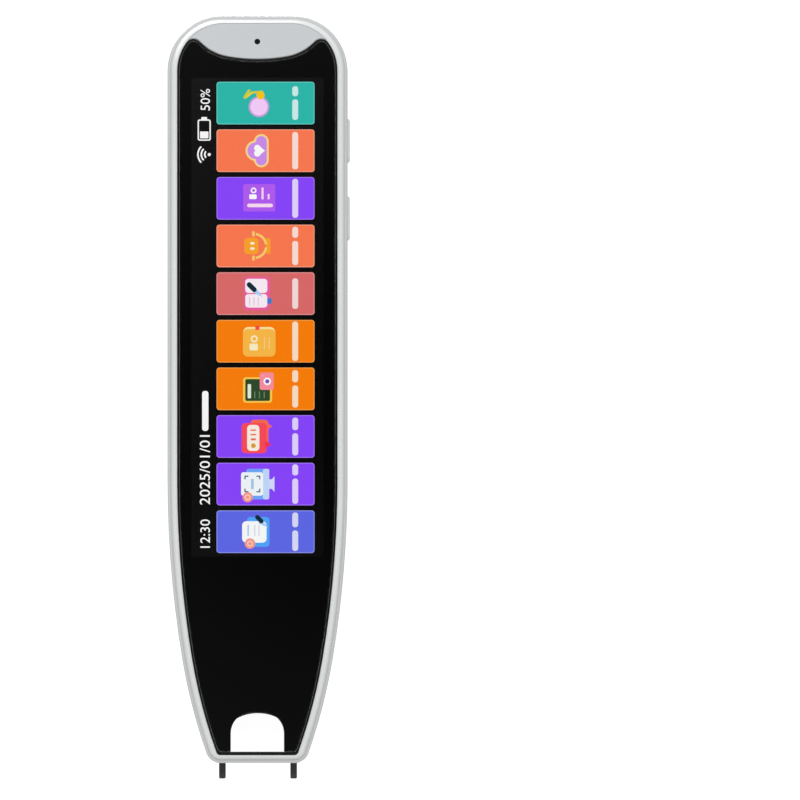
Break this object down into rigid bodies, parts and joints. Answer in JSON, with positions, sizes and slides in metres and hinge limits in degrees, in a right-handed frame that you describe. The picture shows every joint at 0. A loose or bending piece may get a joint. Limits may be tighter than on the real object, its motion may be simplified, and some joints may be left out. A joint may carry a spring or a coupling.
{
  "type": "handheld translator",
  "caption": "Slim handheld translator pen with a tall touch display, a scanning opening behind a two-legged sprung nib, side keys and a rear speaker.",
  "frame": {"origin": "on the flat back, midway along the body and across it", "axes": "+Z out of the screen, +Y towards the microphone end, +X towards the side with the keys"},
  "size_m": [0.0347, 0.1452, 0.013],
  "materials": {
    "silver_paint": "satin pearl paint",
    "silver_rim": "bright pearl paint",
    "panel_grey": "satin",
    "black_gloss": "gloss",
    "clear_glass": "polished",
    "black_print": "matt print",
    "clear_tape": "adhesive",
    "display_glass": "dark polished",
    "chassis_alloy": "bead blasted",
    "tinned_steel": "satin",
    "board_green": "solder mask",
    "chip_black": "moulded",
    "flex_amber": "polyimide film",
    "pouch_foil": "foil",
    "black_matte": "fine texture",
    "black_rubber": "matt",
    "black_cloth": "woven",
    "lead_red": "smooth",
    "spring_steel": "drawn",
    "gold_foil": "plated",
    "white_plastic": "moulded",
    "lens_glass": "polished",
    "magnet_nickel": "plated"
  },
  "bodies": {
    "housing": {"rear_shell": "silver_paint", "front_frame": "silver_rim", "top_panel": "panel_grey", "bezel_ring": "black_gloss", "cover_glass": "clear_glass", "glass_mask": "black_print", "glass_tape": "clear_tape", "lcd_cell": "display_glass", "lcd_backlight": "tinned_steel", "display_flex": "flex_amber", "mid_frame": "chassis_alloy", "main_board": "board_green", "processor_shield": "tinned_steel", "memory_chip": "chip_black", "power_chip": "chip_black", "audio_chip": "chip_black", "radio_module": "tinned_steel", "display_socket": "white_plastic", "usb_shell": "tinned_steel", "usb_tongue": "chip_black", "battery_cell": "pouch_foil", "battery_tape": "clear_tape", "battery_board": "board_green", "battery_leads": "lead_red", "battery_connector": "white_plastic", "speaker_frame": "black_matte", "speaker_magnet": "magnet_nickel", "speaker_cone": "black_rubber", "speaker_gasket": "black_rubber", "speaker_mesh": "black_cloth", "speaker_leads": "lead_red", "microphone": "gold_foil", "mic_boot": "black_rubber", "mic_flex": "flex_amber", "wifi_antenna": "gold_foil", "antenna_cable": "black_rubber", "key_switches": "tinned_steel", "key_board": "board_green", "key_bracket": "tinned_steel", "nib_springs": "spring_steel", "nib_guide": "black_matte", "nib_switch": "chip_black", "nib_board": "board_green", "scan_hood": "black_matte", "camera_window": "lens_glass", "scan_lens": "black_matte", "camera_holder": "chip_black", "camera_board": "board_green", "camera_flex": "flex_amber", "scan_leds": "white_plastic", "led_board": "board_green", "case_screws": "spring_steel", "board_screws": "spring_steel"},
    "nib": {"nib_fork": "black_matte", "nib_clips": "spring_steel"},
    "nib_plunger": {"nib_switch_plunger": "white_plastic"},
    "power_button": {"power_key": "silver_paint"},
    "power_plunger": {"power_switch_plunger": "white_plastic"},
    "function_button": {"function_key": "silver_paint"},
    "function_plunger": {"function_switch_plunger": "white_plastic"}
  },
  "joints": [
    {"name": "nib_press", "type": "slide", "parent": "housing", "child": "nib", "axis": [0, 1, 0], "range_m": [0, 0.0006], "stiffness_N_per_m": 700, "deforming": ["nib_springs"]},
    {"name": "nib_plunger_slide", "type": "slide", "parent": "housing", "child": "nib_plunger", "axis": [0, 1, 0], "range_m": [0, 0.0006]},
    {"name": "power_key_press", "type": "slide", "parent": "housing", "child": "power_button", "axis": [-1, 0, 0], "range_m": [0, 0.00025], "stiffness_N_per_m": 4000},
    {"name": "power_plunger_slide", "type": "slide", "parent": "housing", "child": "power_plunger", "axis": [-1, 0, 0], "range_m": [0, 0.00025]},
    {"name": "function_key_press", "type": "slide", "parent": "housing", "child": "function_button", "axis": [-1, 0, 0], "range_m": [0, 0.00025], "stiffness_N_per_m": 4000},
    {"name": "function_plunger_slide", "type": "slide", "parent": "housing", "child": "function_plunger", "axis": [-1, 0, 0], "range_m": [0, 0.00025]}
  ],
  "couplings": [
    {"joint": "nib_plunger_slide", "follows": "nib_press", "ratio": 1},
    {"joint": "power_plunger_slide", "follows": "power_key_press", "ratio": 1},
    {"joint": "function_plunger_slide", "follows": "function_key_press", "ratio": 1}
  ]
}
